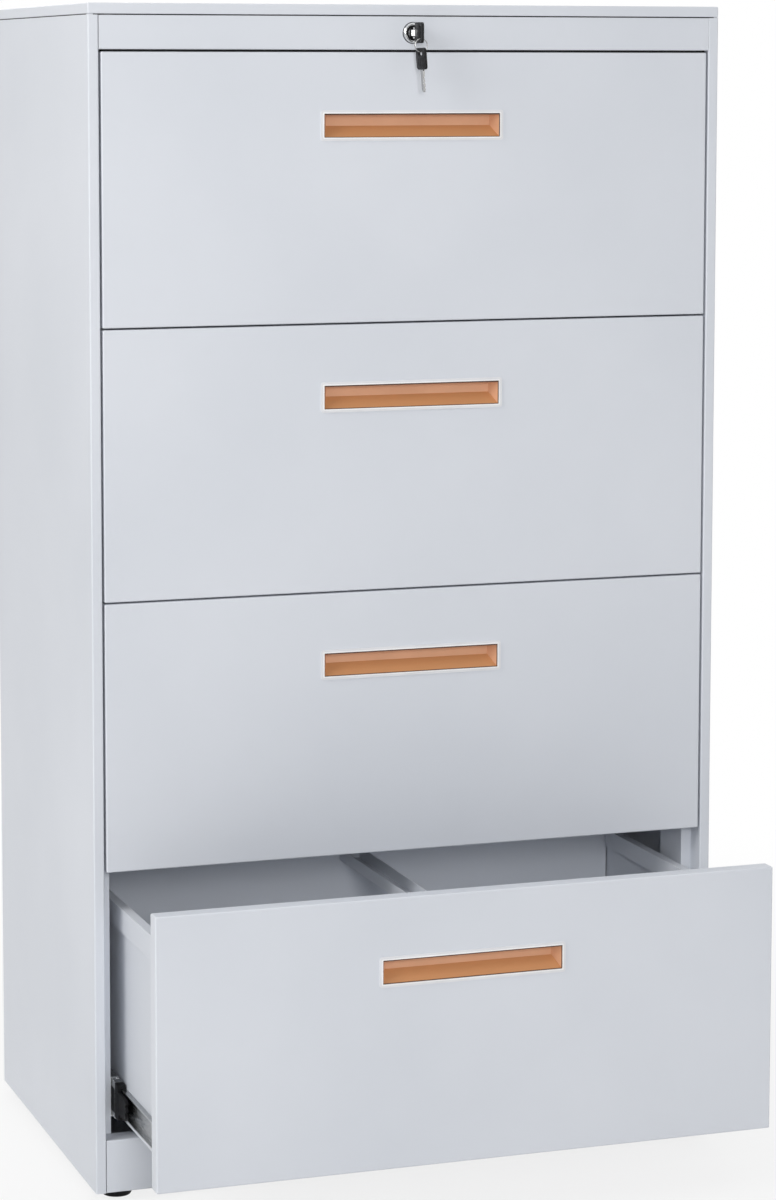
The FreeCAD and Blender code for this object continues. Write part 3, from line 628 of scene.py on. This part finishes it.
# %% [markdown]
# The cam lock shows a chromed bezel with a dark recess between it and the plug. A black ring in the recess
# stands for a dark insert and also paints the recess's shade and dark reflections, and a thin black ring behind
# the flange is a painted shadow line round it. The solids have the flange and the plug. A finer solid could
# carry the bezel too, but these rings are a millimetre high, so they are turned here from short profiles of
# (radius, height).

# %% Lock bezel
lock_low, lock_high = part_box("lock_housing")
lock_z = (lock_low.z + lock_high.z) / 2
on_flange = standing_on((0, lock_low.y, lock_z), (0, -1, 0))
on_rail = standing_on((0, front_y, lock_z), (0, -1, 0))

bezel_profile = ((0.0084, -0.0002), (0.0084, 0.0006), (0.0092, 0.0013))
bezel_profile += ((0.0102, 0.0014), (0.0109, 0.0009), (0.0112, -0.0002))
recess_shade_profile = ((0.0064, -0.0001), (0.0064, 0.0003), (0.0085, 0.0002), (0.0085, -0.0001))
flange_shadow_profile = ((0.0113, 0.0), (0.0121, 0.0), (0.0120, 0.0005), (0.0113, 0.0006))

bezel = bmesh.new()
lathe(bezel, bezel_profile, on_flange, segments=48, hollow=True)
fit_piece("lock_bezel", smooth_mesh(bezel, "lock_bezel", 50), "cabinet", "chrome")
# Black rings: painted shade and dark reflection in the recess, partly a dark insert, and a painted shadow round
# the flange.
shade_rings = bmesh.new()
lathe(shade_rings, recess_shade_profile, on_flange, segments=48, hollow=True)
lathe(shade_rings, flange_shadow_profile, on_rail, segments=48, hollow=True)
fit_piece("lock_shade_rings", smooth_mesh(shade_rings, "lock_shade_rings", 50), "cabinet", "black_plastic")
print("lock bezel at z =", round(lock_z, 4))

# %% [markdown]
# A key's bow is a black moulded plate, with a slot for the ring, a raised grip and three ribs. It could be
# sculpted, but plates laid over each other are how such a bow steps up. The bow lies flat in its own plane,
# with the slot's middle as origin, and the blade will point towards +Y.

# %% Key bow
bow_low, bow_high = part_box("key_bow")
bow_length = bow_high.y - bow_low.y
bow_width = bow_high.z - bow_low.z
bar, slot_radius, bow_swell = 0.0024, 0.0025, 0.001
margin = bar + slot_radius
bow_half, grip_half, rib_half = 0.0015, 0.0019, 0.0022


def bow_shape(name, reach):
    """The bow in its own plane, with a slot whose half length is the reach."""
    half = bow_width / 2 + bow_swell
    end = bow_length - margin
    rim = rounded_outline(-half, -margin - bow_swell, half, end, 0.004)
    slot_loop = rounded_outline(-reach, -slot_radius, reach, slot_radius, slot_radius * 0.99)[::-1]
    grip = rounded_outline(-half * 0.72, 0.0045, half * 0.72, end - 0.002, 0.002)
    plates = [cut_plate(name, [rim, slot_loop], bow_half, 0.0005), cut_plate("grip", [grip], grip_half, 0.0003)]
    for u in (-half * 0.4, 0, half * 0.4):
        rib = rounded_outline(u - 0.0006, 0.006, u + 0.0006, end - 0.0035, 0.0005)
        plates.append(cut_plate("rib", [rib], rib_half, 0.0002))
    joined = bmesh.new()
    for plate in plates:
        joined.from_mesh(plate)
        bpy.data.meshes.remove(plate)
    return joined


print("key bow", round(bow_width * 1000, 1), "by", round(bow_length * 1000, 1), "mm in the solids")

# %% [markdown]
# The blade is steel with cuts milled into one edge, one for each wafer of the lock. A saw-tooth picture
# would be flat at the edge, where it shows most. So the cuts are corners of the blade's own outline: down
# to each depth, along its flat, and partly up again.

# %% Key blade
blade_length, blade_width = 0.025, 0.0068
cut_depths = (0.0008, 0.0020, 0.0013, 0.0024, 0.0010, 0.0018)
first_cut, cut_pitch, cut_flat, cut_rise = 0.0062, 0.0028, 0.0005, 0.0014


def blade_mesh(name):
    """The blade with milled cuts on one edge, in the bow's plane."""
    half = blade_width / 2
    start = bow_length - margin
    tip = start + blade_length
    edge = [(-half, start), (half, start), (half, start + 0.004)]
    for k, depth in enumerate(cut_depths):
        v = start + first_cut + k * cut_pitch
        edge += [(half - depth, v - cut_flat), (half - depth, v + cut_flat), (half - depth * 0.3, v + cut_rise)]
    edge += [(half * 0.3, tip), (-half * 0.3, tip), (-half, tip - 0.003)]
    return cut_plate(name, [edge], 0.0010, 0.00015)


print("key blade with", len(cut_depths), "cuts,", round(blade_length * 1000, 1), "mm long")

# %% [markdown]
# One key sits in the lock with its bow upright, and the spare hangs below it from the ring, slightly askew.
# Both could be modelled in place, but one flat key and two matrices give the same cuts and bows. Each key
# stands for its plainer solids, which stay in the model for contact.


# %% Keys in place
def set_key(prefix, body, turn, reach):
    """Puts one key's bow and blade where the solid key is; the reach is half the slot's length."""
    bow = bow_shape(prefix + "bow", reach)
    bmesh.ops.transform(bow, matrix=turn, verts=bow.verts)
    moulded = smooth_mesh(bow, prefix + "bow_moulded", 40)
    fit_piece(prefix + "bow_moulded", moulded, body, "black_plastic", [prefix + "bow"], "bow_plastic")
    blade = blade_mesh(prefix + "blade_cut")
    blade.transform(turn)
    fit_piece(prefix + "blade_cut", blade, body, "key_steel", [prefix + "blade"])


def rotated(degrees, axis):
    """A rotation about an axis of the frame."""
    return Matrix.Rotation(math.radians(degrees), 4, axis)


# The key in the lock lies along +Y with its width up; its plane's +X turns to -Z.
key_spot = Vector((0, bow_low.y + margin, lock_z))
upright = Matrix(((0, 0, 1), (0, 1, 0), (-1, 0, 0))).to_4x4()
set_key("key_", "key", Matrix.Translation(key_spot) @ upright, bow_width / 2 - bar)

spare_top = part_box("spare_key_bow")[1].z
spare_spot = Vector((0, key_spot.y, spare_top - margin))
hang = rotated(-5, "Y") @ rotated(5, "Z") @ rotated(-90, "X")
set_key("spare_key_", "spare_key", Matrix.Translation(spare_spot) @ hang @ upright, 0.005)
print("spare key hangs", round((lock_z - spare_spot.z) * 1000, 1), "mm below the lock's middle")

# %% [markdown]
# A split ring is springy wire wound nearly twice round. A torus would look like a solid ring, so a curve
# of two close turns is bevelled into a wire with capped ends, and its mesh stands for the solid ring.

# %% Split ring
ring_low, ring_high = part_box("key_ring")
ring_middle = (ring_low + ring_high) / 2
ring_radius, wire_radius, ring_points = 0.0073, 0.0005, 120
ring_start, ring_sweep, ring_pitch = 0.4, 3.9 * math.pi, 0.001
coil = bpy.data.curves.new("split_ring", "CURVE")
coil.dimensions = "3D"
coil.bevel_depth = wire_radius
coil.bevel_resolution = 3
coil.use_fill_caps = True
turns = coil.splines.new("POLY")
turns.points.add(ring_points - 1)
for k, point in enumerate(turns.points):
    share = k / (ring_points - 1)
    angle = ring_start + ring_sweep * share
    x = ring_middle.x + ring_radius * math.cos(angle)
    z = ring_middle.z + ring_radius * math.sin(angle)
    point.co = (x, ring_middle.y + ring_pitch * (share - 0.5), z, 1)
fit_piece("split_ring", closed_curve_mesh("split_ring", coil), "ring", "key_steel", ["key_ring"])
print("split ring", round(ring_radius * 2000, 1), "mm across")

# %% [markdown]
# A levelling foot is a black moulded pad with a fluted grip, on a threaded stud. A true helix for the thread
# would cost thousands of faces that nobody sees, so close rings stand for it. The flutes come from a wave
# that pulls every fourth point of the pad's rings inwards.

# %% Feet
pad_profile = ((0.0142, 0), (0.0157, 0.0005), (0.0165, 0.0016), (0.0170, 0.0032), (0.0173, 0.0092))
pad_profile += ((0.0174, 0.0104), (0.0169, 0.0112), (0.0090, 0.0114), (0.0041, 0.0114))
thread_radius, thread_depth, thread_step, thread_rings = 0.0040, 0.0003, 0.0007, 40
flute_low, flute_high, flute_depth = 0.001, 0.0100, 0.02
pad_top = pad_profile[-1][1]
thread = [(thread_radius - thread_depth * (k % 2), pad_top + thread_step * k) for k in range(thread_rings)]


def flutes(k, height):
    """Grooves round the pad between its sole and its rim."""
    return 1 - flute_depth * (k % 4 == 0) if flute_low < height < flute_high else 1


for corner in ("front_left", "front_right", "rear_left", "rear_right"):
    low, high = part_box(f"{corner}_foot")
    middle = (low + high) / 2
    spot = Matrix.Translation((middle.x, middle.y, low.z))
    foot = bmesh.new()
    lathe(foot, pad_profile, spot, segments=96, wave=flutes)
    lathe(foot, thread, spot, segments=20)
    moulded = smooth_mesh(foot, "foot", 50)
    fit_piece(f"{corner}_foot_moulded", moulded, f"{corner}_leveller", "black_plastic", [f"{corner}_foot"])
pad_radius = max(radius for radius, height in pad_profile)
print("four levelling feet, each", round(pad_radius * 2000, 1), "mm across")

# %% [markdown]
# The top pan meets the body in a thin seam that lies in shadow. Painting that shade would need a mask, so a
# narrow black bar with rounded lips, a painted shadow, is laid into the joint, along the front and both sides.
# It is an extruded bar.

# %% Painted shadow in the top seam
top_low, top_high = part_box("top_panel")
inset = 0.006
seam_shadow_outline = [(0.0020, -0.0007), (0.0004, -0.0006), (-0.0002, -0.0003)]
seam_shadow_outline += [(-0.0002, 0.0003), (0.0004, 0.0006), (0.0020, 0.0007)]
across_x = (top_low.x + inset, top_high.x - inset)
along_y = (top_low.y + inset, top_high.y - inset)
seam = bmesh.new()
# A black bar in the joint: painted shadow in the seam.
extrude_bar(seam, [[(x, top_low.y + u, top_low.z + v) for u, v in seam_shadow_outline] for x in across_x])
for side, edge in ((1, top_low.x), (-1, top_high.x)):
    extrude_bar(seam, [[(edge + side * u, y, top_low.z + v) for u, v in seam_shadow_outline] for y in along_y])
fit_piece("top_seam_shadow", smooth_mesh(seam, "top_seam_shadow", 60), "cabinet", "black_plastic")
print("seam under the top panel at z =", round(top_low.z, 4))

# %% [markdown]
# The gap between the lock rail and the top drawer looks black in the photograph. Left open, it fills with
# light that bounces off the pale paint. A black strip under the rail closes it as a painted shadow, and stays
# clear of the drawer's front.

# %% Painted shadow under the lock rail
rail_low, rail_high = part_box("lock_rail")
strip_inset = 0.004
rail_shadow_outline = [(0.0012, 0.0004), (0.0012, -0.0016), (0.0014, -0.0020)]
rail_shadow_outline += [(0.0018, -0.0021), (0.0120, -0.0021), (0.0120, 0.0004)]
strip_x = (rail_low.x + strip_inset, rail_high.x - strip_inset)
strip = bmesh.new()
# A black strip in the gap: painted shadow under the lock rail.
extrude_bar(strip, [[(x, front_y + u, rail_low.z + v) for u, v in rail_shadow_outline] for x in strip_x])
fit_piece("rail_shadow_strip", smooth_mesh(strip, "rail_shadow_strip", 60), "cabinet", "black_plastic")
print("strip under the lock rail,", round(strip_x[1] - strip_x[0], 3), "m long")

# %% [markdown]
# The back sheet is riveted to the side flanges, which shows as two rows of low domes. They could be dots in
# a bump map, but domes keep their outline from the side. All of them are turned into one mesh.

# %% Back rivets
back_low, back_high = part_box("back_panel")
rivet_dome = ((0.0034, 0), (0.0032, 0.0005), (0.0024, 0.0009), (0.0010, 0.0011))
rivet_rows, row_inset, column_inset = 9, 0.05, 0.008
rivet_pitch = (back_high.z - back_low.z - 2 * row_inset) / (rivet_rows - 1)
rivets = bmesh.new()
for side in (-1, 1):
    for k in range(rivet_rows):
        spot = (side * (back_high.x - column_inset), back_high.y, back_low.z + row_inset + k * rivet_pitch)
        lathe(rivets, rivet_dome, standing_on(spot, (0, 1, 0)), segments=20)
fit_piece("back_rivets", smooth_mesh(rivets, "back_rivets", 60), "cabinet", "zinc_steel")
print(2 * rivet_rows, "rivets on the back, every", round(rivet_pitch * 1000, 1), "mm")

# %% [markdown]
# The photograph has a white ground. More light would whiten a grey floor, but it would burn out the pale
# paint too. So the backdrop tells two kinds of ray apart: camera, glossy and transmission rays, which show
# it, see white, and the rays that light the cabinet see a plain level.


# %% Rays that show the backdrop
def seen_directly(tree):
    """A value of one for rays that show the backdrop, and zero for rays that light the scene."""
    path = tree.nodes.new("ShaderNodeLightPath")
    first = tree.nodes.new("ShaderNodeMath")
    first.operation = "MAXIMUM"
    tree.links.new(path.outputs["Is Camera Ray"], first.inputs[0])
    tree.links.new(path.outputs["Is Glossy Ray"], first.inputs[1])
    both = tree.nodes.new("ShaderNodeMath")
    both.operation = "MAXIMUM"
    tree.links.new(first.outputs["Value"], both.inputs[0])
    tree.links.new(path.outputs["Is Transmission Ray"], both.inputs[1])
    return both.outputs["Value"]


print("camera, glossy and transmission rays see the backdrop as white")

# %% [markdown]
# The studio floor is a wide flat sheet under the feet. A curved sweep is common in a studio, but here the
# world behind is just as white, so no bend is needed.

# %% Floor sheet
floor_half = 8
floor_shape = bmesh.new()
bmesh.ops.create_grid(floor_shape, x_segments=8, y_segments=8, size=floor_half)
floor_mesh = smooth_mesh(floor_shape, "floor")
floor = bpy.data.objects.new("floor", floor_mesh)
scene.collection.objects.link(floor)
print("floor of", 2 * floor_half, "m")

# %% [markdown]
# The floor's finish keeps the cabinet's shadow. A floor of pure glow would lose it, and a plain one shows
# a grey horizon. This one mixes the two: near the cabinet some of the plain surface shows through, with
# its shadow, and further out the glow takes over.

# %% Floor finish
near, far, near_glow, far_glow = 0.5, 1.8, 0.82, 1.0
pale = bpy.data.materials.new("pale_floor")
pale.use_nodes = True
tree = pale.node_tree
surface = tree.nodes["Principled BSDF"]
surface.inputs["Base Color"].default_value = (0.72, 0.72, 0.72, 1)
surface.inputs["Roughness"].default_value = 0.9
glow = tree.nodes.new("ShaderNodeEmission")
ground = tree.nodes.new("ShaderNodeTexCoord")
distance = tree.nodes.new("ShaderNodeVectorMath")
distance.operation = "LENGTH"
tree.links.new(ground.outputs["Object"], distance.inputs[0])
fade = tree.nodes.new("ShaderNodeMapRange")
fade.interpolation_type = "SMOOTHSTEP"
set_range(fade, near, far, near_glow, far_glow)
tree.links.new(distance.outputs["Value"], fade.inputs["Value"])
glow_share = tree.nodes.new("ShaderNodeMath")
glow_share.operation = "MULTIPLY"
tree.links.new(seen_directly(tree), glow_share.inputs[0])
tree.links.new(fade.outputs["Result"], glow_share.inputs[1])
mix = tree.nodes.new("ShaderNodeMixShader")
tree.links.new(glow_share.outputs["Value"], mix.inputs["Fac"])
tree.links.new(surface.outputs["BSDF"], mix.inputs[1])
tree.links.new(glow.outputs["Emission"], mix.inputs[2])
tree.links.new(mix.outputs["Shader"], tree.nodes["Material Output"].inputs["Surface"])
floor_mesh.materials.append(pale)
print("floor fades to white from", near, "to", far, "m")

# %% [markdown]
# The world stands for the white walls of a studio. Walls could be modelled, but a plain white background
# lights the cabinet evenly from all sides, and other views show no corners.

# %% World
wall_level = 0.42
world = bpy.data.worlds.new("studio")
world.use_nodes = True
scene.world = world
tree = world.node_tree
sky = tree.nodes["Background"]
sky.inputs["Color"].default_value = (1, 1, 1, 1)
level = tree.nodes.new("ShaderNodeMapRange")
set_range(level, 0, 1, wall_level, 1)
tree.links.new(seen_directly(tree), level.inputs["Value"])
tree.links.new(level.outputs["Result"], sky.inputs["Strength"])
print("white world at a light level of", wall_level)

# %% [markdown]
# In the photograph the fronts darken slightly to the right and the open tray is lit from the front. A sun
# would do that with hard shadows. Square soft lamps keep them soft: a large, slightly warm one at the left
# for the side, a smaller one in front that reaches into the tray, and weak ones above and behind.
# The Standard view transform keeps the colours as they are written.


# %% Lamps
def lamp(name, spot, aim, size, power, colour=(1, 1, 1)):
    """A square soft light that points at a spot."""
    data = bpy.data.lights.new(name, "AREA")
    data.shape = "SQUARE"
    data.size = size
    data.energy = power
    data.color = colour
    made = bpy.data.objects.new(name, data)
    scene.collection.objects.link(made)
    made.location = spot
    made.rotation_euler = (Vector(aim) - Vector(spot)).to_track_quat("-Z", "Y").to_euler()


lamp("key_light", (-4.0, -1.4, 2.9), aim=(0, 0, 0.9), size=2.2, power=96, colour=(1, 0.99, 0.972))
lamp("front_light", (-1.0, -4.2, 1.75), aim=(0, 0, 0.8), size=1.1, power=62)
lamp("top_light", (0.0, 0.4, 4.0), aim=(0, 0, 1.0), size=2.0, power=14)
lamp("back_light", (0.6, 4.2, 2.6), aim=(0, 0, 0.7), size=2.2, power=50)
scene.view_settings.view_transform = "Standard"
print(len(bpy.data.lights), "lamps")
